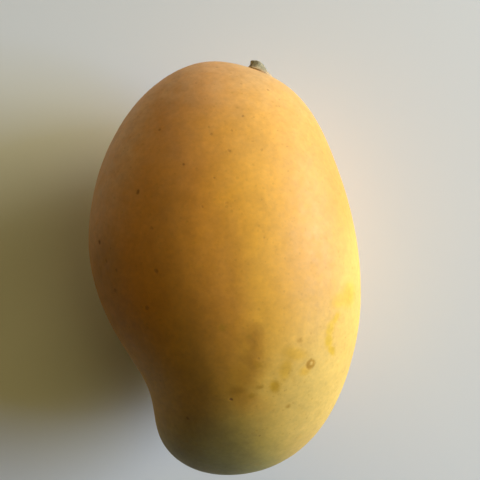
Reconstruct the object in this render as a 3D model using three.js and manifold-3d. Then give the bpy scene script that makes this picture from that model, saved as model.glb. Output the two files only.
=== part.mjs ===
// A ripe mango with its short cut stem, lying on one cheek. Millimetres, +Z up.
// X runs across the fruit, from the hollowed belly side (-X) to the full back (+X).
// Y runs along it, from the beak (-Y) to the stem end (+Y). Z is its thickness.
import * as THREE from "three";
import { mergeVertices } from "three/addons/utils/BufferGeometryUtils.js";
import Module from "manifold-3d";

// The fruit's main sizes
const fruitLength = 112;
const halfThickness = 31;
const restHeight = 30.6; // from the long axis down to the flat spot that it rests on
const facetSteps = 16; // how often each edge of the starting icosahedron is split

// How far the outline stands out from the long axis. The terms multiply 1, s, s^2 and so on,
// where s goes from -1 at the beak to 1 at the stem end.
const backWidth = [36.5, -3.8, -0.6, 3, 5.8];
const bellyWidth = [39.2, -0.8, 0.6, -2.4];
const axisLean = -0.8; // the stem end's pole is this far towards the belly

// The sinus, the hollow in the belly side above the beak
const sinusDepth = 15.1;
const sinusPlace = -0.59; // along s
const sinusReach = 0.34;
const ridgeShare = 0.45; // how much of the sinus's sideways push the cheeks' ridge follows

// The cross-section is an oval, a little squarer than an ellipse. Its thickness follows s too.
const sectionPower = 2.12;
const thicknessTerms = [1, 0.03, -0.06, 0.1];

// The shallow hollow that the stem stands in, on the back side of the stem end's pole
const stemFoot = new THREE.Vector3(9.8, 52.4, 1.6);
const stemNormal = new THREE.Vector3(0.39, 0.92, 0).normalize();
const hollowDepth = 1.3;
const hollowReach = 11;

// The stem: radius and height above the foot, from the root's tip to the hollow in its cut end
const rootDepth = 2.6;
const rootRadius = 1.5;
const collarRadius = 3.5;
const collarEdge = 0.5;
const neckRadius = 1.85;
const neckShift = 1.3; // how far the neck stands off the collar's middle, towards the belly
const stemHeight = 2.7; // measured along the stem's curve
const cutSlope = 0.28; // how much taller the stem is on its belly side, and shorter on the other
const cutRadius = 1.75;
const pithRadius = 0.8;
const pithDepth = 0.7;
const stemLean = THREE.MathUtils.degToRad(34); // how far the stem bows over, towards the belly
const fluteCount = 5;
const fluteDepth = 0.07;
const stemSides = 30;
const seatGap = 0.3;

const wasm = await Module();
wasm.setup();

const polynomial = (terms, s) => terms.reduce((sum, term, power) => sum + term * s ** power, 0);

// The sinus, as a share of its depth: 1 at its deepest, fading both ways along the fruit
const sinusShare = (s) => 1 / (1 + ((s - sinusPlace) / sinusReach) ** 2);

// Carries a point of the unit sphere, whose y axis is the fruit's length, onto the skin
function skinPoint(sphere) {
  const s = THREE.MathUtils.clamp(sphere.y, -1, 1);
  const ring = Math.hypot(sphere.x, sphere.z);
  const across = ring > 0 ? sphere.x / ring : 1;
  const up = ring > 0 ? sphere.z / ring : 0;
  const square = (Math.abs(across) ** sectionPower + Math.abs(up) ** sectionPower) ** (-1 / sectionPower);
  const back = polynomial(backWidth, s);
  const belly = polynomial(bellyWidth, s) - sinusDepth * sinusShare(s);
  const halfWidth = (back + belly) / 2;
  const offset = (back - belly) / 2;
  const c = across * square;
  const skin = new THREE.Vector3(
    axisLean * s + ring * (halfWidth * c + offset * (ridgeShare + (1 - ridgeShare) * c * c)),
    (fruitLength / 2) * s,
    ring * halfThickness * polynomial(thicknessTerms, s) * up * square,
  );
  const spread = skin.distanceToSquared(stemFoot) / hollowReach ** 2;
  return skin.addScaledVector(stemNormal, -hollowDepth * Math.exp(-spread));
}

// Moves every vertex of a geometry by a rule
function reshape(geometry, rule) {
  const position = geometry.getAttribute("position");
  const point = new THREE.Vector3();
  for (let i = 0; i < position.count; i += 1) {
    const moved = rule(point.fromBufferAttribute(position, i));
    position.setXYZ(i, moved.x, moved.y, moved.z);
  }
  return geometry;
}

function toSolid(geometry) {
  const bare = geometry.clone().deleteAttribute("normal").deleteAttribute("uv");
  const merged = mergeVertices(bare, 1e-4);
  return new wasm.Manifold(
    new wasm.Mesh({
      numProp: 3,
      vertProperties: new Float32Array(merged.getAttribute("position").array),
      triVerts: new Uint32Array(merged.index.array),
    }),
  );
}

function toGeometry(solid) {
  const mesh = solid.getMesh();
  const geometry = new THREE.BufferGeometry();
  geometry.setAttribute("position", new THREE.BufferAttribute(mesh.vertProperties, mesh.numProp));
  geometry.setIndex(new THREE.BufferAttribute(mesh.triVerts, 1));
  geometry.computeVertexNormals();
  return geometry;
}

// Stands a lathed shape, made round the Y axis, on the stem's foot
function standOnFoot(geometry) {
  const turn = new THREE.Quaternion().setFromUnitVectors(new THREE.Vector3(0, 1, 0), stemNormal);
  return reshape(geometry, (point) => point.applyQuaternion(turn).add(stemFoot));
}

// Flutes the stem's bark, slopes its cut end and bows what stands above the foot along an arc
function bowStem(point) {
  if (point.y <= 0) return point;
  const share = point.y / stemHeight;
  const flute = 1 + share * fluteDepth * Math.cos(fluteCount * Math.atan2(point.z, point.x));
  const height = share * (1 - (share * cutSlope * point.x) / cutRadius);
  const lean = stemLean * height;
  const arcRadius = stemHeight / stemLean;
  const x = point.x * flute;
  point.set(
    x * Math.cos(lean) - arcRadius * (1 - Math.cos(lean)) - neckShift * THREE.MathUtils.smoothstep(share, 0, 0.4),
    x * Math.sin(lean) + arcRadius * Math.sin(lean),
    point.z * flute,
  );
  return point;
}

// The recess in the fruit that the stem's root and collar sit in, with a gap all round
function stemSeat() {
  const outside = 6;
  const profile = [
    [0, -rootDepth - seatGap],
    [rootRadius + seatGap, -rootDepth - seatGap],
    [rootRadius + seatGap, -seatGap],
    [collarRadius + seatGap, -seatGap],
    [collarRadius + 3 * seatGap, outside],
    [0, outside],
  ].map(([radius, height]) => new THREE.Vector2(radius, height));
  return toSolid(standOnFoot(new THREE.LatheGeometry(profile, stemSides)));
}

// Everything below the surface that the fruit rests on
function table() {
  const size = 2 * fruitLength;
  return toSolid(new THREE.BoxGeometry(size, size, size).translate(0, 0, -restHeight - size / 2));
}

function fruitGeometry() {
  const skin = toSolid(reshape(new THREE.IcosahedronGeometry(1, facetSteps), skinPoint));
  return toGeometry(skin.subtract(stemSeat()).subtract(table()));
}

function stemGeometry() {
  const profile = [
    [0, -rootDepth],
    [0.7 * rootRadius, -rootDepth],
    [rootRadius, -0.7 * rootDepth],
    [rootRadius, 0],
    [collarRadius - 0.2, 0],
    [collarRadius, 0.4 * collarEdge],
    [collarRadius - 0.25, collarEdge],
    [1.45 * neckRadius, 0.27 * stemHeight],
    [1.16 * neckRadius, 0.46 * stemHeight],
    [neckRadius, 0.65 * stemHeight],
    [cutRadius, 0.95 * stemHeight],
    [0.8 * cutRadius, stemHeight],
    [pithRadius, stemHeight - 0.4 * pithDepth],
    [0, stemHeight - pithDepth],
  ].map(([radius, height]) => new THREE.Vector2(radius, height));
  const lathed = new THREE.LatheGeometry(profile, stemSides);
  return toGeometry(toSolid(standOnFoot(reshape(lathed, bowStem))));
}

const skinMaterial = new THREE.MeshStandardMaterial({ color: 0xe6a64a, roughness: 0.55, metalness: 0 });
const barkMaterial = new THREE.MeshStandardMaterial({ color: 0x7b7258, roughness: 0.9, metalness: 0 });

const fruit = new THREE.Mesh(fruitGeometry(), skinMaterial);
fruit.name = "fruit";

const stem = new THREE.Mesh(stemGeometry(), barkMaterial);
stem.name = "stem";

const mango = new THREE.Group();
mango.add(fruit, stem);

// The origin is under the middle of the whole, on the surface that it rests on
const bounds = new THREE.Box3().setFromObject(mango);
const middle = bounds.getCenter(new THREE.Vector3());
mango.position.set(-middle.x, -middle.y, restHeight);

export default mango;
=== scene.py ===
import math

import bpy
import numpy as np
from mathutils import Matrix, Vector, noise


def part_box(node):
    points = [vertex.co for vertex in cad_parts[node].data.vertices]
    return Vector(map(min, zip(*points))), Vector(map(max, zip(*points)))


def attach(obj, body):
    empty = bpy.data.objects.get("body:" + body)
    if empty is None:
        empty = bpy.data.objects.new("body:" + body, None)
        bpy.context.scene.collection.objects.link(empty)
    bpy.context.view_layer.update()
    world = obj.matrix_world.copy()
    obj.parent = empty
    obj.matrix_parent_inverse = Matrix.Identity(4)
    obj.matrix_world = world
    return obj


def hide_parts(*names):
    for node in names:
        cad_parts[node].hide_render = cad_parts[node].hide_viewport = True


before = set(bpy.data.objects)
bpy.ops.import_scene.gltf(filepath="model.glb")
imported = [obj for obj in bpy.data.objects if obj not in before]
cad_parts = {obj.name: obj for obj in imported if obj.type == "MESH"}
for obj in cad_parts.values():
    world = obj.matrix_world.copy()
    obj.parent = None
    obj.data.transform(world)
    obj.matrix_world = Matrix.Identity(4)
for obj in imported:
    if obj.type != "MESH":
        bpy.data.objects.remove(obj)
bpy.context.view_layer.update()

print("frame loaded")

# The fruit's own axes: Y along it, from the beak (-Y) to the stem end (+Y), X across it, from
# the hollowed belly side to the full back, and Z up through its thickness. Metres.
fruitShape = {
    "length": 0.112,
    "halfThickness": 0.031,
    "restHeight": 0.0306,                                  # the long axis above the table
    "backWidth": (0.0365, -0.0038, -0.0006, 0.003, 0.0058),  # terms of 1, s, s^2 and so on,
    "bellyWidth": (0.0392, -0.0008, 0.0006, -0.0024),        # where s goes from -1 to 1 along Y
    "axisLean": -0.0008,
    "sinusDepth": 0.0151,
    "sinusPlace": -0.59,
    "sinusReach": 0.34,
    "ridgeShare": 0.45,
    "sectionPower": 2.12,
    "thicknessTerms": (1, 0.03, -0.06, 0.1),
    "hollowDepth": 0.0013,
    "hollowReach": 0.011,
    "subdivisions": 7,                                     # of the starting icosphere
    "finerReach": (0.055, 0.035),  # how far round each mark the mesh is made finer, on the sphere
}
stemFoot = Vector((0.0098, 0.0524, 0.0016))
stemNormal = Vector((0.39, 0.92, 0)).normalized()

# The camera looks straight down, as the photograph's did: its height over the fruit's long axis
# and its place over the fruit in metres, its lens and sensor in millimetres, and the pixels
# along each side of the photograph
view = {"above": 0.19, "x": 0.00435, "y": 0.0075, "lens": 52.24, "sensor": 36, "pixels": 480}

# Small dark lenticels that show one by one. A pixel is counted across and down the photograph,
# and was read from enlarged crops. A radius is in metres.
darkSpots = [
    {"pixel": (216.7, 67.4), "radius": 0.0003, "strength": 0.3},
    {"pixel": (241.2, 83.8), "radius": 0.0003, "strength": 0.3},
    {"pixel": (267.8, 89.9), "radius": 0.00034, "strength": 0.45},
    {"pixel": (195.8, 82.8), "radius": 0.00024, "strength": 0.25},
    {"pixel": (189.2, 95), "radius": 0.00028, "strength": 0.3},
    {"pixel": (279, 105.2), "radius": 0.0003, "strength": 0.4},
    {"pixel": (279.5, 99.6), "radius": 0.00022, "strength": 0.25},
    {"pixel": (242.8, 116.4), "radius": 0.00034, "strength": 0.45},
    {"pixel": (254, 116.4), "radius": 0.00022, "strength": 0.25},
    {"pixel": (231.5, 130.2), "radius": 0.0003, "strength": 0.35},
    {"pixel": (208.6, 127.1), "radius": 0.00024, "strength": 0.3},
    {"pixel": (211.1, 134.3), "radius": 0.0003, "strength": 0.3},
    {"pixel": (229, 150.6), "radius": 0.00034, "strength": 0.35},
    {"pixel": (252.4, 141.9), "radius": 0.00028, "strength": 0.25},
    {"pixel": (261.6, 150.1), "radius": 0.0003, "strength": 0.25},
    {"pixel": (183.1, 164.4), "radius": 0.0004, "strength": 0.5},
    {"pixel": (286.6, 146.5), "radius": 0.00022, "strength": 0.25},
    {"pixel": (278, 131.2), "radius": 0.0002, "strength": 0.25},
    {"pixel": (159.7, 130.2), "radius": 0.0004, "strength": 0.5},
    {"pixel": (213.9, 178), "radius": 0.00028, "strength": 0.35},
    {"pixel": (138, 192), "radius": 0.00048, "strength": 0.65},
    {"pixel": (202.4, 206.7), "radius": 0.00028, "strength": 0.25},
    {"pixel": (226.7, 202.9), "radius": 0.0003, "strength": 0.25},
    {"pixel": (151.4, 228.4), "radius": 0.00044, "strength": 0.35},
    {"pixel": (100.4, 241.8), "radius": 0.00055, "strength": 0.75},
    {"pixel": (110.6, 248.8), "radius": 0.0003, "strength": 0.35},
    {"pixel": (107.4, 260.9), "radius": 0.0005, "strength": 0.4},
    {"pixel": (117, 270.5), "radius": 0.00046, "strength": 0.4},
    {"pixel": (155.9, 271.1), "radius": 0.00048, "strength": 0.5},
    {"pixel": (114.4, 290.9), "radius": 0.0005, "strength": 0.35},
    {"pixel": (147, 308.1), "radius": 0.00052, "strength": 0.5},
    {"pixel": (187.8, 418.4), "radius": 0.00046, "strength": 0.5},
    {"pixel": (259.3, 435), "radius": 0.0003, "strength": 0.45},
    {"pixel": (231.2, 399.3), "radius": 0.0004, "strength": 0.9},
    {"pixel": (284.8, 391), "radius": 0.0003, "strength": 0.25},
    {"pixel": (258.6, 358.6), "radius": 0.0003, "strength": 0.25},
    {"pixel": (264.2, 237.9), "radius": 0.00018, "strength": 0.25},
    {"pixel": (278.2, 289.1), "radius": 0.00016, "strength": 0.25},
    {"pixel": (265.6, 261.8), "radius": 0.00018, "strength": 0.25},
]

# The ring-shaped pit. The places and widths of its parts are shares of its radius.
ringPit = {
    "pixel": (310.5, 364.2),
    "radius": 0.00135,
    "rim": 0.00001,
    "rimPlace": 1.35,
    "rimWidth": 0.35,
    "depth": 0.00004,
    "trenchPlace": 0.8,
    "trenchWidth": 0.3,
    "middleDepth": 0.4,  # as a share of the depth
    "middleWidth": 0.5,
}


# Shared tools
def clearSelection():
    if bpy.context.object and bpy.context.object.mode != "OBJECT":
        bpy.ops.object.mode_set(mode="OBJECT")
    bpy.ops.object.select_all(action="DESELECT")


def readPoints(piece):
    flat = np.empty(len(piece.data.vertices) * 3)
    piece.data.vertices.foreach_get("co", flat)
    return flat.reshape(-1, 3)


def writePoints(piece, points):
    piece.data.vertices.foreach_set("co", np.ascontiguousarray(points).ravel())
    piece.data.update()


def readNormals(piece):
    flat = np.empty(len(piece.data.vertices) * 3, np.float32)
    piece.data.vertex_normals.foreach_get("vector", flat)
    return flat.reshape(-1, 3).astype(float)


def polynomial(terms, s):
    return sum(term * s ** power for power, term in enumerate(terms))


def smoothStep(low, high, value):
    share = np.clip((value - low) / (high - low), 0, 1)
    return share * share * (3 - 2 * share)


# Carries points of the unit sphere onto the skin, in the fruit's own axes
def skinPoints(sphere):
    shape = fruitShape
    s = np.clip(sphere[:, 1], -1, 1)
    ring = np.maximum(np.hypot(sphere[:, 0], sphere[:, 2]), 1e-9)
    across, up = sphere[:, 0] / ring, sphere[:, 2] / ring
    power = shape["sectionPower"]
    square = np.maximum(abs(across) ** power + abs(up) ** power, 1e-9) ** (-1 / power)
    sinus = shape["sinusDepth"] / (1 + ((s - shape["sinusPlace"]) / shape["sinusReach"]) ** 2)
    back = polynomial(shape["backWidth"], s)
    belly = polynomial(shape["bellyWidth"], s) - sinus
    c = across * square
    ridge = shape["ridgeShare"] + (1 - shape["ridgeShare"]) * c * c
    skin = np.column_stack((
        shape["axisLean"] * s + ring * ((back + belly) / 2 * c + (back - belly) / 2 * ridge),
        shape["length"] / 2 * s,
        ring * shape["halfThickness"] * polynomial(shape["thicknessTerms"], s) * up * square,
    ))
    spread = ((skin - stemFoot) ** 2).sum(1) / shape["hollowReach"] ** 2
    return skin - np.outer(shape["hollowDepth"] * np.exp(-spread), stemNormal)


# The fruit
clearSelection()
bpy.ops.mesh.primitive_ico_sphere_add(subdivisions=fruitShape["subdivisions"], radius=1)
fruit = bpy.context.object
fruit.name = "fruitSkin"

sphere = readPoints(fruit)
skin = skinPoints(sphere)

# The place on the upper side that each marked pixel shows, and its direction on the sphere
halfPhoto = view["pixels"] / 2
pixelSize = (view["above"] - skin[:, 2]) * view["sensor"] / (view["lens"] * view["pixels"])
seenAcross = halfPhoto + (skin[:, 0] - view["x"]) / pixelSize
seenDown = halfPhoto - (skin[:, 1] - view["y"]) / pixelSize
markDirections = []
markPoints = []
for mark in (*darkSpots, ringPit):
    pixelAcross, pixelDown = mark["pixel"]
    gap = np.hypot(seenAcross - pixelAcross, seenDown - pixelDown) + view["pixels"] * (skin[:, 2] < 0)
    nearest = np.argmin(gap)
    markDirections.append(sphere[nearest])
    markPoints.append((
        view["x"] + (pixelAcross - halfPhoto) * pixelSize[nearest],
        view["y"] - (pixelDown - halfPhoto) * pixelSize[nearest],
        skin[nearest, 2],
    ))
markPoints = np.array(markPoints)

# The mesh is made finer round each mark, in two passes
for reach in fruitShape["finerReach"]:
    centres = np.empty(len(fruit.data.polygons) * 3)
    fruit.data.polygons.foreach_get("center", centres)
    centres = centres.reshape(-1, 3)
    near = np.zeros(len(centres), bool)
    for direction in markDirections:
        near |= ((centres - direction) ** 2).sum(1) < reach ** 2
    bpy.context.tool_settings.mesh_select_mode = (False, False, True)
    bpy.ops.object.mode_set(mode="EDIT")
    bpy.ops.mesh.select_all(action="DESELECT")
    bpy.ops.object.mode_set(mode="OBJECT")
    fruit.data.polygons.foreach_set("select", near)
    bpy.ops.object.mode_set(mode="EDIT")
    bpy.ops.mesh.subdivide(number_cuts=1, ngon=False)
    bpy.ops.object.mode_set(mode="OBJECT")

sphere = readPoints(fruit)
sphere /= np.linalg.norm(sphere, axis=1)[:, None]
skin = skinPoints(sphere)
writePoints(fruit, skin)
low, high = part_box("fruit")
shift = np.array((low.x - skin[:, 0].min(), low.y - skin[:, 1].min(), fruitShape["restHeight"]))

# Soft unevenness, the pits of the dark spots and the ringed pit
relief = {
    "broad": 0.00022,
    "broadSize": 0.016,
    "fine": 0.00003,
    "fineSize": 0.0035,
    "spotPit": 0.08,  # the depth of a dark spot's pit, as a share of its radius
}
normals = readNormals(fruit)
push = np.array([
    relief["broad"] * noise.noise(Vector(p) / relief["broadSize"])
    + relief["fine"] * noise.noise(Vector(p) / relief["fineSize"])
    for p in skin
])
for point, spot in zip(markPoints, darkSpots):
    gap = np.sqrt(((skin - point) ** 2).sum(1)) / spot["radius"]
    push -= relief["spotPit"] * spot["radius"] * np.exp(-gap ** 2)
gap = np.sqrt(((skin - markPoints[-1]) ** 2).sum(1)) / ringPit["radius"]
rim = np.exp(-((gap - ringPit["rimPlace"]) / ringPit["rimWidth"]) ** 2)
trench = np.exp(-((gap - ringPit["trenchPlace"]) / ringPit["trenchWidth"]) ** 2)
middle = np.exp(-(gap / ringPit["middleWidth"]) ** 2)
push += ringPit["rim"] * rim
push -= ringPit["depth"] * (trench + ringPit["middleDepth"] * middle)
skin = skin + normals * push[:, None]
skin[:, 2] = np.maximum(skin[:, 2], -fruitShape["restHeight"])

writePoints(fruit, skin + shift)  # from the fruit's own axes to the row frame
clearSelection()
fruit.select_set(True)
bpy.context.view_layer.objects.active = fruit
bpy.ops.object.shade_smooth()
print("fruit:", len(fruit.data.polygons), "faces, shift", shift)


# The stem
stemShape = {
    "rings": [  # radius and height above the foot
        (0.0024, -0.0012), (0.0031, -0.0006), (0.0034, -0.0001), (0.00352, 0.0002),
        (0.00345, 0.0004), (0.0031, 0.00052), (0.0027, 0.00073), (0.00225, 0.0011),
        (0.00205, 0.0015), (0.0019, 0.0019), (0.00182, 0.0023), (0.00176, 0.0026),
        (0.00164, 0.0028), (0.0014, 0.00285), (0.0011, 0.0027), (0.0008, 0.0025),
        (0.0004, 0.0022),
    ],
    "sides": 64,
    "height": 0.0027,
    "neckShift": 0.0013,
    "lean": math.radians(34),
    "cutSlope": 0.28,
    "cutRadius": 0.00175,
    "flutes": 5,
    "fluteDepth": 0.07,
    "neckShiftEnd": 0.4,  # the share of the height by which the shift is complete
    "flare": 0.0005,  # how far its sunny side swells out
    "flareHeight": 0.0012,
    "flareSharpness": 2,
    "flareWidth": 0.002,  # from none at the stem's axis to full
}
clearSelection()
rings = stemShape["rings"]
bpy.ops.mesh.primitive_circle_add(
    vertices=stemShape["sides"], radius=rings[0][0], fill_type="NGON", location=(0, 0, rings[0][1]))
stem = bpy.context.object
stem.name = "stemStub"
bpy.ops.object.transform_apply(location=True, rotation=True, scale=True)
bpy.ops.object.mode_set(mode="EDIT")
bpy.ops.mesh.select_mode(type="EDGE")
bpy.ops.mesh.select_all(action="SELECT")
for (radius, height), (nextRadius, nextHeight) in zip(rings, rings[1:]):
    bpy.ops.mesh.extrude_region_move(
        TRANSFORM_OT_translate={"value": (0, 0, nextHeight - height)})
    bpy.ops.transform.resize(
        value=(nextRadius / radius, nextRadius / radius, 1), center_override=(0, 0, nextHeight))
bpy.ops.mesh.select_all(action="SELECT")
bpy.ops.mesh.normals_make_consistent(inside=False)
bpy.ops.object.mode_set(mode="OBJECT")
rounding = stem.modifiers.new("rounding", "SUBSURF")
rounding.levels = rounding.render_levels = 2
bpy.ops.object.modifier_apply(modifier="rounding")

points = readPoints(stem)
x, side, height = points[:, 0].copy(), points[:, 1].copy(), points[:, 2].copy()
above = np.clip(height / stemShape["height"], 0, None)
angle = np.arctan2(side, x)
flute = 1 + above * stemShape["fluteDepth"] * np.cos(stemShape["flutes"] * angle)
x, side = x * flute, side * flute
offFlare = height / stemShape["flareHeight"] - 1
swell = np.exp(-stemShape["flareSharpness"] * offFlare ** 2)
x = x + stemShape["flare"] * swell * smoothStep(0, stemShape["flareWidth"], x)
slopedShare = above * (1 - above * stemShape["cutSlope"] * x / stemShape["cutRadius"])
lean = stemShape["lean"] * slopedShare
arcRadius = stemShape["height"] / stemShape["lean"]
neckShift = stemShape["neckShift"] * smoothStep(0, stemShape["neckShiftEnd"], above)
bentX = x * np.cos(lean) - arcRadius * (1 - np.cos(lean)) - neckShift
bentHeight = np.where(height > 0, x * np.sin(lean) + arcRadius * np.sin(lean), height)
across = np.array((stemNormal.y, -stemNormal.x, 0))
placed = (
    np.array(stemFoot) + shift
    + np.outer(bentX, across) + np.outer(bentHeight, stemNormal) + np.outer(side, (0, 0, 1))
)
writePoints(stem, placed)
clearSelection()
stem.select_set(True)
bpy.context.view_layer.objects.active = stem
bpy.ops.object.mode_set(mode="EDIT")
bpy.ops.mesh.select_all(action="SELECT")
bpy.ops.mesh.normals_make_consistent(inside=False)
bpy.ops.object.mode_set(mode="OBJECT")
bpy.ops.object.shade_smooth()
print("stem:", len(stem.data.polygons), "faces")


# Node helpers
# Adds a node, sets its options and fills its inputs, with a link where a value is a socket
def addNode(tree, kind, inputs=None, **options):
    node = tree.nodes.new(kind)
    for name, value in options.items():
        setattr(node, name, value)
    for socket, value in (inputs or {}).items():
        if isinstance(value, bpy.types.NodeSocket):
            tree.links.new(value, node.inputs[socket])
        else:
            node.inputs[socket].default_value = value
    return node


def calc(tree, operation, first, second=0.0):
    return addNode(tree, "ShaderNodeMath", {0: first, 1: second}, operation=operation).outputs[0]


def calcVector(tree, operation, first, second=(0, 0, 0)):
    return addNode(tree, "ShaderNodeVectorMath", {0: first, 1: second}, operation=operation).outputs[0]


def scaleVector(tree, vector, factor):
    node = addNode(tree, "ShaderNodeVectorMath", {0: vector, "Scale": factor}, operation="SCALE")
    return node.outputs[0]


def remap(tree, value, low, high, toLow=0.0, toHigh=1.0, smooth=False):
    inputs = {"Value": value, "From Min": low, "From Max": high, "To Min": toLow, "To Max": toHigh}
    kind = "SMOOTHSTEP" if smooth else "LINEAR"
    return addNode(tree, "ShaderNodeMapRange", inputs, interpolation_type=kind).outputs[0]


# Lays a second colour over the first, as far as the share says
def layColor(tree, share, first, second):
    inputs = {0: share, 6: first, 7: second}
    return addNode(tree, "ShaderNodeMix", inputs, data_type="RGBA").outputs[2]


def addRamp(tree, value, stops):
    node = addNode(tree, "ShaderNodeValToRGB", {0: value})
    elements = node.color_ramp.elements
    while len(elements) < len(stops):
        elements.new(0.5)
    for element, (position, color) in zip(elements, stops):
        element.position = position
        element.color = (*color, 1)
    return node.outputs[0]


# The largest of several masks
def anyOf(tree, masks):
    total = masks[0]
    for mask in masks[1:]:
        total = calc(tree, "MAXIMUM", total, mask)
    return total


def newGroup(name, inputs, outputs):
    tree = bpy.data.node_groups.new(name, "ShaderNodeTree")
    for label, kind, value in inputs:
        socket = tree.interface.new_socket(label, in_out="INPUT", socket_type="NodeSocket" + kind)
        if value is not None:
            socket.default_value = value
    for label in outputs:
        tree.interface.new_socket(label, in_out="OUTPUT", socket_type="NodeSocketFloat")
    given = tree.nodes.new("NodeGroupInput").outputs
    result = tree.nodes.new("NodeGroupOutput")
    return tree, given, result


def useGroup(tree, group, inputs):
    return addNode(tree, "ShaderNodeGroup", inputs, node_tree=group).outputs


# Scattered dots of unlike size, such as lenticels: a share of the cells holds one
def makeDotField():
    tree, given, result = newGroup(
        "dotField",
        [("Vector", "Vector", None), ("Spacing", "Float", 1.2), ("Radius", "Float", 0.25),
         ("Share", "Float", 0.6), ("Soft", "Float", 0.4)],
        ["Mask", "Tone"])
    perUnit = calc(tree, "DIVIDE", 1.0, given["Spacing"])
    scaled = scaleVector(tree, given["Vector"], perUnit)
    cells = addNode(tree, "ShaderNodeTexVoronoi", {"Vector": scaled, "Scale": 1.0})
    distance = calc(tree, "MULTIPLY", cells.outputs["Distance"], given["Spacing"])
    draw = addNode(tree, "ShaderNodeSeparateColor", {0: cells.outputs["Color"]}).outputs
    radiusSpan = (0.45, 1.35)  # smallest and largest, as shares of the given radius
    radius = calc(tree, "MULTIPLY", given["Radius"], remap(tree, draw[0], 0, 1, *radiusSpan))
    inner = calc(tree, "MULTIPLY", radius, calc(tree, "SUBTRACT", 1.0, given["Soft"]))
    outer = calc(tree, "MULTIPLY", radius, calc(tree, "ADD", 1.0, given["Soft"]))
    dot = remap(tree, distance, inner, outer, 1.0, 0.0, smooth=True)
    here = calc(tree, "LESS_THAN", draw[1], given["Share"])
    tree.links.new(calc(tree, "MULTIPLY", dot, here), result.inputs["Mask"])
    tree.links.new(draw[2], result.inputs["Tone"])
    return tree


# One soft-edged patch round a place, as an ellipsoid turned about Z
def makeSoftPatch():
    tree, given, result = newGroup(
        "softPatch",
        [("Vector", "Vector", None), ("Place", "Vector", (0, 0, 0)), ("Reach", "Vector", (1, 1, 1)),
         ("Turn", "Float", 0.0), ("Soft", "Float", 0.4)],
        ["Mask"])
    offset = calcVector(tree, "SUBTRACT", given["Vector"], given["Place"])
    turned = addNode(
        tree, "ShaderNodeVectorRotate", {"Vector": offset, "Angle": given["Turn"]},
        rotation_type="Z_AXIS")
    share = calcVector(tree, "DIVIDE", turned.outputs[0], given["Reach"])
    distance = addNode(tree, "ShaderNodeVectorMath", {0: share}, operation="LENGTH").outputs["Value"]
    inner = calc(tree, "SUBTRACT", 1.0, given["Soft"])
    outer = calc(tree, "ADD", 1.0, given["Soft"])
    tree.links.new(remap(tree, distance, inner, outer, 1.0, 0.0, smooth=True), result.inputs["Mask"])
    return tree


# Cloudy variation round 1, to multiply a colour or a roughness with
def makeMottle():
    tree, given, result = newGroup(
        "mottle",
        [("Vector", "Vector", None), ("Size", "Float", 1.0), ("Contrast", "Float", 0.1)],
        ["Tone"])
    perUnit = calc(tree, "DIVIDE", 1.0, given["Size"])
    cloud = addNode(
        tree, "ShaderNodeTexNoise",
        {"Vector": scaleVector(tree, given["Vector"], perUnit), "Scale": 1.0,
         "Detail": 3.0, "Roughness": 0.55})
    noiseSpan = (0.3, 0.7)  # where nearly all of the noise's values lie
    swing = remap(tree, cloud.outputs[0], *noiseSpan, -1.0, 1.0)
    swing = calc(tree, "MULTIPLY", swing, given["Contrast"])
    tree.links.new(calc(tree, "ADD", 1.0, swing), result.inputs["Tone"])
    return tree


dotField = makeDotField()
softPatch = makeSoftPatch()
mottle = makeMottle()
print("node groups made")


# A vector that noise has shaken, for ragged edges
def ruffle(tree, vector, size, amount):
    cloud = addNode(
        tree, "ShaderNodeTexNoise",
        {"Vector": scaleVector(tree, vector, 1 / size), "Scale": 1.0, "Detail": 2.0, "Roughness": 0.6})
    centred = calcVector(tree, "SUBTRACT", cloud.outputs["Color"], (0.5, 0.5, 0.5))
    return calcVector(tree, "ADD", vector, scaleVector(tree, centred, amount))


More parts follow.
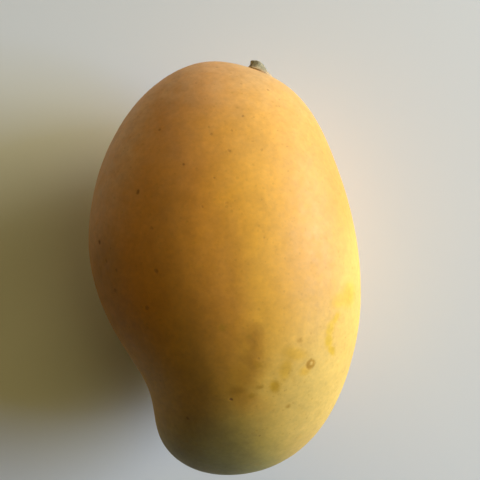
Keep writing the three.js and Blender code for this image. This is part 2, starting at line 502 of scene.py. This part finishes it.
# The skin. Places, sizes and depths are in millimetres in the fruit's own axes, a turn is in
# degrees, and a patch is (x, y, z), (reach along x, y, z), turn.
skinLook = {
    "ripe": [  # share of the way from the beak to the stem end, and colour
        (0.0, (0.36, 0.30, 0.055)), (0.05, (0.45, 0.335, 0.045)), (0.11, (0.57, 0.355, 0.028)),
        (0.19, (0.68, 0.34, 0.017)), (0.36, (0.71, 0.335, 0.014)), (0.7, (0.71, 0.33, 0.016)),
        (0.86, (0.65, 0.305, 0.028)), (1.0, (0.46, 0.24, 0.05)),
    ],
    "shake": {  # size and amount of the noise that shakes each kind of edge
        "wavering": (22.0, 8.0), "ragged": (4.0, 4.5), "fine": (1.1, 0.9),
    },
    # an orange blush on the belly side: partly the skin's own tint, partly painted shade away from the
    # key light
    "blushAndShadeColor": (0.62, 0.225, 0.008),
    "blushAndShadeAcross": (12.0, -9.0),  # from none to full, along x
    "blushAndShadeAlong": (-34.0, -6.0),  # from none to full, along y
    "blushAndShadeShare": 0.85,
    # painted shade: the side that faces the key light is made darker
    "keySideShadeColor": (0.57, 0.27, 0.028),
    "keySideShadeAcross": (11.0, 25.0),
    "lemon": [  # pale yellow, on the back side of the beak and above it
        ((25.0, -30.0, 11.0), (17.0, 23.0, 24.0), 0), ((34.0, -10.0, 6.0), (10.0, 22.0, 20.0), 0),
    ],
    "lemonColor": (0.66, 0.46, 0.10),
    "lemonShare": 0.66,
    "lemonSoft": 0.7,
    # towards the stem end the bloom is partly painted sheen
    "bloomAndSheen": [  # how much pale bloom lies on the skin, along the same way
        (0.0, (0.06, 0.06, 0.06)), (0.12, (0.04, 0.04, 0.04)), (0.25, (0.02, 0.02, 0.02)),
        (0.4, (0.01, 0.01, 0.01)), (0.65, (0.015, 0.015, 0.015)), (0.82, (0.07, 0.07, 0.07)),
        (1.0, (0.25, 0.25, 0.25)),
    ],
    "bloomAndSheenColor": (0.68, 0.56, 0.42),
    "bloomMottle": {"Size": 3.5, "Contrast": 0.25},
    # the thicker bloom on the belly side and at the stem end's rim is partly painted sheen
    "thickBloomAndSheen": [  # areas where the bloom is thicker: the belly side, the stem end's rim, the back
        {"share": 0.26, "patches": [((-33.0, 28.0, 8.0), (18.0, 26.0, 22.0), 0)]},
        {"share": 0.035, "patches": [((-20.0, 25.0, 20.0), (12.0, 24.0, 20.0), 0)]},
        {"share": 0.12, "patches": [((-18.0, 47.0, 6.0), (15.0, 13.0, 15.0), 0)]},
        {"share": 0.03, "patches": [((17.0, 12.0, 26.0), (8.0, 16.0, 12.0), 0)]},
    ],
    "thickBloomAndSheenSoft": 0.5,
    "paintedLightAndShade": [  # painted light and shade: deeper shade beside the ridge, a lighter band along it, more shade at the beak
        {"color": (0.48, 0.17, 0.004), "share": 0.48, "patches": [
            ((-2.0, -18.0, 28.0), (6.5, 24.0, 18.0), -6), ((-9.0, 38.0, 24.0), (7.0, 16.0, 14.0), 20)]},
        {"color": (0.48, 0.17, 0.004), "share": 0.3, "patches": [
            ((-8.5, 28.0, 24.0), (6.0, 15.0, 16.0), 15)]},
        {"color": (0.95, 0.45, 0.024), "share": 0.14, "patches": [
            ((6.5, 15.0, 28.0), (7.0, 25.0, 16.0), 27)]},
        {"color": (0.22, 0.155, 0.03), "share": 0.46, "patches": [
            ((-2.0, -46.0, 12.0), (12.0, 14.0, 18.0), 0)]},
    ],
    "paintedLightAndShadeSoft": 0.6,
    "rubbed": [  # patches where the bloom is off and the skin is a deeper yellow
        {"color": (0.60, 0.335, 0.003), "share": 0.75, "soft": 0.6, "edge": "fine", "patches": [
            ((31.2, -6.2, 17.0), (2.3, 3.0, 5.0), -15), ((28.4, -7.2, 19.8), (2.6, 1.7, 4.0), 15)]},
        {"color": (0.56, 0.325, 0.001), "share": 0.9, "soft": 0.55, "edge": "fine", "patches": [
            ((27.6, -11.6, 20.8), (0.85, 1.7, 3.0), -35), ((26.2, -14.0, 21.6), (1.05, 2.0, 3.0), -14),
            ((25.9, -16.8, 21.2), (1.05, 2.0, 3.0), 6), ((26.7, -19.4, 19.9), (0.85, 1.6, 3.0), 28)]},
        {"color": (0.60, 0.31, 0.002), "share": 0.55, "soft": 0.6, "edge": "fine", "patches": [
            ((17.4, -19.4, 25.6), (3.0, 1.5, 5.0), -15), ((15.2, -23.0, 25.4), (1.3, 2.6, 4.0), -12),
            ((20.0, -23.9, 23.0), (1.4, 1.0, 4.0), 20)]},
    ],
    "marks": [  # browner places: a bruise with its darker cores, blots and a tan streak
        {"color": (0.46, 0.19, 0.004), "share": 0.74, "soft": 0.75, "edge": "ragged", "patches": [
            ((7.3, -15.4, 29.0), (2.7, 3.0, 6.0), 5), ((7.2, -19.8, 28.2), (3.2, 4.0, 6.0), 5),
            ((6.0, -24.5, 26.9), (3.3, 3.8, 6.0), -20), ((4.3, -28.5, 25.6), (2.9, 2.6, 6.0), -35)]},
        {"color": (0.58, 0.26, 0.02), "share": 0.45, "soft": 0.8, "edge": "ragged", "patches": [
            ((6.4, -31.5, 24.8), (4.2, 3.0, 6.0), -10)]},
        {"color": (0.36, 0.15, 0.002), "share": 0.45, "soft": 0.8, "edge": "fine", "patches": [
            ((7.6, -16.8, 29.0), (0.8, 1.6, 4.0), 5), ((7.2, -21.8, 27.8), (0.9, 1.8, 4.0), 10),
            ((3.8, -27.9, 25.7), (1.4, 1.1, 4.0), 20), ((2.6, -28.6, 25.8), (0.8, 0.6, 4.0), 0)]},
        {"color": (0.46, 0.21, 0.008), "share": 0.35, "soft": 0.6, "edge": "ragged", "patches": [
            ((-28.0, 1.0, 20.0), (4.0, 9.0, 9.0), 0)]},
        {"color": (0.53, 0.27, 0.001), "share": 0.85, "soft": 0.6, "edge": "fine", "patches": [
            ((12.7, -27.3, 24.7), (1.2, 1.6, 3.0), 0)]},
        {"color": (0.42, 0.20, 0.003), "share": 0.6, "soft": 0.7, "edge": "fine", "patches": [
            ((9.0, -27.3, 25.6), (0.9, 0.5, 3.0), 10), ((7.2, -29.4, 24.9), (0.9, 0.5, 3.0), 10),
            ((16.0, -32.8, 21.2), (0.6, 0.45, 3.0), 30), ((18.4, -16.2, 25.8), (0.7, 0.6, 2.0), 0),
            ((8.6, -21.9, 27.3), (0.8, 0.7, 3.0), 0), ((0.4, -12.6, 29.8), (0.7, 0.8, 3.0), 0),
            ((6.4, -14.8, 29.0), (0.6, 0.5, 3.0), 0)]},
        {"color": (0.60, 0.29, 0.04), "share": 0.6, "soft": 0.6, "edge": "fine", "patches": [
            ((29.2, 9.2, 18.4), (0.9, 2.0, 4.0), 15)]},
    ],
    "ringColor": (0.40, 0.19, 0.001),
    "ringShare": 0.92,
    "ringSoft": 0.3,
    "ringGap": (0.25, 0.2, 0),  # the pale gap's offset from the ring's middle
    "ringGapRadius": 0.32,  # as a share of the ring's
    "ringGapSoft": 0.6,
    "spotColor": (0.20, 0.065, 0.003),
    "spotSoft": 0.5,
    "lenticelColor": (0.42, 0.19, 0.004),
    "lenticels": {
        "spacing": 1.25, "radius": 0.27, "share": 0.8, "soft": 0.4, "faintest": 0.05, "strongest": 0.3},
    "fleckColor": (0.50, 0.24, 0.006),
    "flecks": {
        "spacing": 3.4, "radius": 0.8, "share": 0.6, "soft": 0.7, "faintest": 0.04, "strongest": 0.2},
    "fleckFade": (15.0, -15.0, 0.35, 1.0),  # two places along y, and how strong flecks are at each
    "clouds": ((10.0, 0.05), (3.0, 0.06), (1.1, 0.065)),  # size and contrast
    "roughness": 0.62,
    "glossMottle": {"Size": 2.0, "Contrast": 0.08},
    "rubbedGloss": 0.06,  # taken off the roughness where the bloom is off
    "spotDullness": 0.25,  # added to it on a dark spot
    "grain": ((0.55, 0.006), (2.4, 0.02)),  # size and height of the fine relief
    "pitDepth": 0.02,
}


def patchMasks(tree, vector, patches, soft):
    masks = []
    for place, reach, turn in patches:
        inputs = {
            "Vector": vector, "Place": place, "Reach": reach, "Turn": -math.radians(turn), "Soft": soft}
        masks.append(useGroup(tree, softPatch, inputs)["Mask"])
    return masks


# A scatter of dots, each as strong as its own random tone says
def scatterMask(tree, vector, dots):
    scatter = useGroup(
        tree, dotField,
        {"Vector": vector, "Spacing": dots["spacing"], "Radius": dots["radius"],
         "Share": dots["share"], "Soft": dots["soft"]})
    strength = remap(tree, scatter["Tone"], 0, 1, dots["faintest"], dots["strongest"])
    return calc(tree, "MULTIPLY", scatter["Mask"], strength)


def makeSkinMaterial():
    look = skinLook
    material = bpy.data.materials.new("mangoSkin")
    material.use_nodes = True
    tree = material.node_tree
    shader = tree.nodes["Principled BSDF"]
    place = addNode(tree, "ShaderNodeTexCoord").outputs["Object"]
    inFruit = addNode(
        tree, "ShaderNodeMapping",
        {"Vector": place, "Location": tuple(-1000 * shift), "Scale": (1000, 1000, 1000)}).outputs[0]
    shaken = {kind: ruffle(tree, inFruit, *shake) for kind, shake in look["shake"].items()}
    wavering = shaken["wavering"]

    # From greenish at the beak through gold to a duller stem end
    places = addNode(tree, "ShaderNodeSeparateXYZ", {0: wavering}).outputs
    across = places["X"]
    along = places["Y"]
    halfLength = 500 * fruitShape["length"]
    share = remap(tree, along, -halfLength, halfLength)
    color = addRamp(tree, share, look["ripe"])

    # A more orange blush on the belly side, which leaves the beak out: partly the skin's own tint,
    # partly painted shade on the side turned away from the key light
    blushAndShade = remap(tree, across, *look["blushAndShadeAcross"], smooth=True)
    blushAndShade = calc(tree, "MULTIPLY", blushAndShade, remap(tree, along, *look["blushAndShadeAlong"], smooth=True))
    blushAndShade = calc(tree, "MULTIPLY", blushAndShade, look["blushAndShadeShare"])
    color = layColor(tree, blushAndShade, color, (*look["blushAndShadeColor"], 1))

    # The back, made darker towards the key light as painted shade, its pale yellow patches, and the
    # wide patches of painted light and shade
    keySideShade = remap(tree, across, *look["keySideShadeAcross"], smooth=True)
    color = layColor(tree, keySideShade, color, (*look["keySideShadeColor"], 1))
    lemon = anyOf(tree, patchMasks(tree, wavering, look["lemon"], look["lemonSoft"]))
    lemon = calc(tree, "MULTIPLY", lemon, look["lemonShare"])
    color = layColor(tree, lemon, color, (*look["lemonColor"], 1))
    # Painted shade beside the ridge and at the beak, and a painted lighter band along the ridge
    for lightAndShadePatch in look["paintedLightAndShade"]:
        mask = anyOf(tree, patchMasks(tree, wavering, lightAndShadePatch["patches"], look["paintedLightAndShadeSoft"]))
        mask = calc(tree, "MULTIPLY", mask, lightAndShadePatch["share"])
        color = layColor(tree, mask, color, (*lightAndShadePatch["color"], 1))

    # The bloom, partly painted sheen at the stem end and on the shaded belly rim, which is off where
    # the skin was rubbed
    rubbed = []
    for stain in look["rubbed"]:
        masks = patchMasks(tree, shaken[stain["edge"]], stain["patches"], stain["soft"])
        rubbed.append(calc(tree, "MULTIPLY", anyOf(tree, masks), stain["share"]))
    bare = anyOf(tree, rubbed)
    bloomTone = useGroup(tree, mottle, {"Vector": inFruit, **look["bloomMottle"]})["Tone"]
    thickBloomAndSheen = []
    for area in look["thickBloomAndSheen"]:
        mask = anyOf(tree, patchMasks(tree, wavering, area["patches"], look["thickBloomAndSheenSoft"]))
        thickBloomAndSheen.append(calc(tree, "MULTIPLY", mask, area["share"]))
    bloomAndSheen = calc(tree, "ADD", addRamp(tree, share, look["bloomAndSheen"]), anyOf(tree, thickBloomAndSheen))
    bloomAndSheen = calc(tree, "MULTIPLY", bloomAndSheen, bloomTone)
    bloomAndSheen = calc(tree, "MULTIPLY", bloomAndSheen, calc(tree, "SUBTRACT", 1.0, bare))
    color = layColor(tree, bloomAndSheen, color, (*look["bloomAndSheenColor"], 1))
    for stain, mask in zip(look["rubbed"], rubbed):
        color = layColor(tree, mask, color, (*stain["color"], 1))

    # Bruises, blots and the tan streak
    for stain in look["marks"]:
        masks = patchMasks(tree, shaken[stain["edge"]], stain["patches"], stain["soft"])
        mask = calc(tree, "MULTIPLY", anyOf(tree, masks), stain["share"])
        color = layColor(tree, mask, color, (*stain["color"], 1))

    # The ring, thickest on its lower left side, with a paler gap
    ringPlace = 1000 * markPoints[-1]
    ringRadius = 1000 * ringPit["radius"]
    whole = (tuple(ringPlace), (ringRadius,) * 3, 0)
    hole = (tuple(ringPlace + np.array(look["ringGap"])), (look["ringGapRadius"] * ringRadius,) * 3, 0)
    outer = patchMasks(tree, shaken["fine"], [whole], look["ringSoft"])[0]
    inner = patchMasks(tree, shaken["fine"], [hole], look["ringGapSoft"])[0]
    ring = calc(tree, "MULTIPLY", outer, calc(tree, "SUBTRACT", 1.0, inner))
    ring = calc(tree, "MULTIPLY", ring, look["ringShare"])
    color = layColor(tree, ring, color, (*look["ringColor"], 1))

    # Flecks and lenticels: two scatters, and the dark ones that show one by one
    flecks = scatterMask(tree, shaken["ragged"], look["flecks"])
    flecks = calc(tree, "MULTIPLY", flecks, remap(tree, along, *look["fleckFade"], smooth=True))
    color = layColor(tree, flecks, color, (*look["fleckColor"], 1))
    faint = scatterMask(tree, inFruit, look["lenticels"])
    color = layColor(tree, faint, color, (*look["lenticelColor"], 1))
    spots = []
    for point, spot in zip(markPoints, darkSpots):
        patch = (tuple(1000 * point), (1000 * spot["radius"],) * 3, 0)
        mask = patchMasks(tree, shaken["fine"], [patch], look["spotSoft"])[0]
        spots.append(calc(tree, "MULTIPLY", mask, spot["strength"]))
    dark = anyOf(tree, spots)
    color = layColor(tree, dark, color, (*look["spotColor"], 1))

    # Cloudy tone, stronger at the finer sizes
    for size, contrast in look["clouds"]:
        tone = useGroup(tree, mottle, {"Vector": inFruit, "Size": size, "Contrast": contrast})["Tone"]
        color = scaleVector(tree, color, tone)
    tree.links.new(color, shader.inputs["Base Color"])

    # Satin, a little glossier where it was rubbed and duller on the spots
    gloss = useGroup(tree, mottle, {"Vector": inFruit, **look["glossMottle"]})["Tone"]
    roughness = calc(tree, "MULTIPLY", gloss, look["roughness"])
    roughness = calc(tree, "SUBTRACT", roughness, calc(tree, "MULTIPLY", bare, look["rubbedGloss"]))
    roughness = calc(tree, "ADD", roughness, calc(tree, "MULTIPLY", dark, look["spotDullness"]))
    tree.links.new(roughness, shader.inputs["Roughness"])

    # Fine relief, as a height in millimetres
    height = calc(tree, "MULTIPLY", calc(tree, "MAXIMUM", faint, dark), -look["pitDepth"])
    for size, depth in look["grain"]:
        cloud = addNode(
            tree, "ShaderNodeTexNoise",
            {"Vector": inFruit, "Scale": 1 / size, "Detail": 2.0, "Roughness": 0.5}).outputs[0]
        height = calc(tree, "ADD", height, calc(tree, "MULTIPLY", cloud, depth))
    bump = addNode(tree, "ShaderNodeBump", {"Height": height, "Distance": 0.001})
    tree.links.new(bump.outputs[0], shader.inputs["Normal"])
    return material


# The dried bark. Millimetres again, with Y along the stem from its foot.
barkLook = {
    # lighter at the collar: painted light in the shaded gap against the fruit
    "body": [  # share of the way from the collar to the cut end, and colour
        (0.0, (0.60, 0.41, 0.21)), (0.2, (0.45, 0.34, 0.2)), (0.45, (0.33, 0.29, 0.17)),
        (1.0, (0.34, 0.31, 0.23)),
    ],
    "length": 3.6,
    "bodyShake": (0.9, 1.0),  # size and amount, as for the skin's edges
    "clouds": ((1.2, 0.16), (0.3, 0.14)),  # size and contrast
    "darkColor": (0.09, 0.06, 0.035),
    "splitShake": (0.5, 0.5),
    "splitSoft": 0.6,
    "splitShare": 0.8,
    "splits": [((-2.8, 0.7, 0.8), (0.9, 0.5, 1.6), -12), ((-2.1, 0.9, 1.2), (0.4, 0.6, 1.0), 8)],
    # painted shade: the stem's side that faces the key light is made darker
    "stemKeySideShadeColor": (0.17, 0.15, 0.09),
    "stemKeySideShadeSoft": 0.8,
    "stemKeySideShadeShare": 0.8,
    "stemKeySideShade": [((0.5, 1.2, 0.0), (1.3, 2.2, 3.5), 20)],
    "specks": {"Spacing": 0.6, "Radius": 0.12, "Share": 0.7},
    "speckShare": 0.5,
    "ridgeSize": (0.28, 1.6, 0.28),
    "ridgeHeight": 0.12,
    "furrows": (0.35, 0.5),  # the ridge noise is a furrow below the first and none above the second
    "furrowShare": 0.55,
    "glossMottle": {"Size": 0.8, "Contrast": 0.1},
    "roughness": 0.82,
}


def makeBarkMaterial():
    look = barkLook
    material = bpy.data.materials.new("stemBark")
    material.use_nodes = True
    tree = material.node_tree
    shader = tree.nodes["Principled BSDF"]
    place = addNode(tree, "ShaderNodeTexCoord").outputs["Object"]
    foot = tuple(np.array(stemFoot) + shift)
    onStem = addNode(
        tree, "ShaderNodeMapping",
        {"Vector": place, "Location": foot, "Rotation": (0, 0, -math.atan2(stemNormal.x, stemNormal.y)),
         "Scale": (0.001, 0.001, 0.001)},
        vector_type="TEXTURE").outputs[0]
    wavering = ruffle(tree, onStem, *look["bodyShake"])
    along = addNode(tree, "ShaderNodeSeparateXYZ", {0: wavering}).outputs["Y"]
    color = addRamp(tree, remap(tree, along, 0.0, look["length"]), look["body"])
    for size, contrast in look["clouds"]:
        tone = useGroup(tree, mottle, {"Vector": onStem, "Size": size, "Contrast": contrast})["Tone"]
        color = scaleVector(tree, color, tone)
    stretched = calcVector(tree, "DIVIDE", onStem, look["ridgeSize"])
    ridges = addNode(
        tree, "ShaderNodeTexNoise", {"Vector": stretched, "Scale": 1.0, "Detail": 3.0}).outputs[0]
    dark = (*look["darkColor"], 1)
    furrows = remap(tree, ridges, *look["furrows"], 1.0, 0.0, smooth=True)
    color = layColor(tree, calc(tree, "MULTIPLY", furrows, look["furrowShare"]), color, dark)
    # Painted shade on the stem's side that faces the key light
    stemKeySideShade = anyOf(tree, patchMasks(tree, onStem, look["stemKeySideShade"], look["stemKeySideShadeSoft"]))
    stemKeySideShade = calc(tree, "MULTIPLY", stemKeySideShade, look["stemKeySideShadeShare"])
    color = layColor(tree, stemKeySideShade, color, (*look["stemKeySideShadeColor"], 1))
    torn = ruffle(tree, onStem, *look["splitShake"])
    splits = anyOf(tree, patchMasks(tree, torn, look["splits"], look["splitSoft"]))
    color = layColor(tree, calc(tree, "MULTIPLY", splits, look["splitShare"]), color, dark)
    specks = useGroup(tree, dotField, {"Vector": onStem, **look["specks"]})["Mask"]
    color = layColor(tree, calc(tree, "MULTIPLY", specks, look["speckShare"]), color, dark)
    tree.links.new(color, shader.inputs["Base Color"])
    gloss = useGroup(tree, mottle, {"Vector": onStem, **look["glossMottle"]})["Tone"]
    tree.links.new(calc(tree, "MULTIPLY", gloss, look["roughness"]), shader.inputs["Roughness"])
    height = calc(tree, "MULTIPLY", ridges, look["ridgeHeight"])
    bump = addNode(tree, "ShaderNodeBump", {"Height": height, "Distance": 0.001})
    tree.links.new(bump.outputs[0], shader.inputs["Normal"])
    return material


fruit.data.materials.append(makeSkinMaterial())
stem.data.materials.append(makeBarkMaterial())
print("materials made")

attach(fruit, "root")
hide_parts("fruit")
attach(stem, "root")
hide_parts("stem")

# Floor, light and camera
floorLook = {"sides": 128, "radius": 0.9, "color": (0.8, 0.79, 0.76), "roughness": 0.8}
clearSelection()
bpy.ops.mesh.primitive_circle_add(
    vertices=floorLook["sides"], radius=floorLook["radius"], fill_type="NGON", location=(0, 0, 0))
floor = bpy.context.object
floor.name = "floor"
floorMaterial = bpy.data.materials.new("floorPaint")
floorMaterial.use_nodes = True
shader = floorMaterial.node_tree.nodes["Principled BSDF"]
shader.inputs["Base Color"].default_value = (*floorLook["color"], 1)
shader.inputs["Roughness"].default_value = floorLook["roughness"]
floor.data.materials.append(floorMaterial)

# Turn from +X towards +Y and height in degrees, width and height of the panel, power, colour
studio = {
    "distance": 1.6,
    "panels": {
        "keyLight": (17, 13, 1.0, 0.46, 40, (1, 0.97, 0.74)),
        "coolKey": (3, 26, 0.8, 0.4, 21.3, (0.3, 0.5, 1)),
        "topFill": (5, 57, 1.0, 0.9, 3.2, (1, 0.85, 0.28)),
        "backFill": (88, 24, 1.6, 0.6, 7.3, (1, 0.8, 0.33)),
        "leftFill": (145, 12, 1.2, 0.4, 1.3, (1, 0.9, 0.5)),
    },
    "air": (1, 0.82, 0.5),
    "airStrength": 0.008,
    "backdrop": (0.5, 0.5, 0.48),  # what the camera sees past the floor's edge
}


def addPanel(name, turn, height, width, depth, power, color):
    turn, height = math.radians(turn), math.radians(height)
    direction = Vector((
        math.cos(height) * math.cos(turn), math.cos(height) * math.sin(turn), math.sin(height)))
    data = bpy.data.lights.new(name, "AREA")
    data.shape = "RECTANGLE"
    data.size, data.size_y = width, depth
    data.energy = power
    data.color = color
    lamp = bpy.data.objects.new(name, data)
    bpy.context.scene.collection.objects.link(lamp)
    lamp.location = direction * studio["distance"]
    lamp.rotation_mode = "QUATERNION"
    lamp.rotation_quaternion = direction.to_track_quat("Z", "Y")


for name, panel in studio["panels"].items():
    addPanel(name, *panel)

world = bpy.data.worlds.new("studioAir")
world.use_nodes = True
sky = world.node_tree
air = sky.nodes["Background"]
air.inputs["Color"].default_value = (*studio["air"], 1)
air.inputs["Strength"].default_value = studio["airStrength"]
backdrop = sky.nodes.new("ShaderNodeBackground")
backdrop.inputs["Color"].default_value = (*studio["backdrop"], 1)
choice = sky.nodes.new("ShaderNodeMixShader")
sky.links.new(sky.nodes.new("ShaderNodeLightPath").outputs["Is Camera Ray"], choice.inputs[0])
sky.links.new(air.outputs[0], choice.inputs[1])
sky.links.new(backdrop.outputs[0], choice.inputs[2])
sky.links.new(choice.outputs[0], sky.nodes["World Output"].inputs["Surface"])
bpy.context.scene.world = world
bpy.context.scene.view_settings.view_transform = "Standard"
print("lights made")

cameraData = bpy.data.cameras.new("camera")
cameraData.lens = view["lens"]
cameraData.sensor_width = view["sensor"]
cameraData.clip_start = 0.01
camera = bpy.data.objects.new("camera", cameraData)
bpy.context.scene.collection.objects.link(camera)
camera.location = (view["x"] + shift[0], view["y"] + shift[1], view["above"] + shift[2])
bpy.context.scene.camera = camera
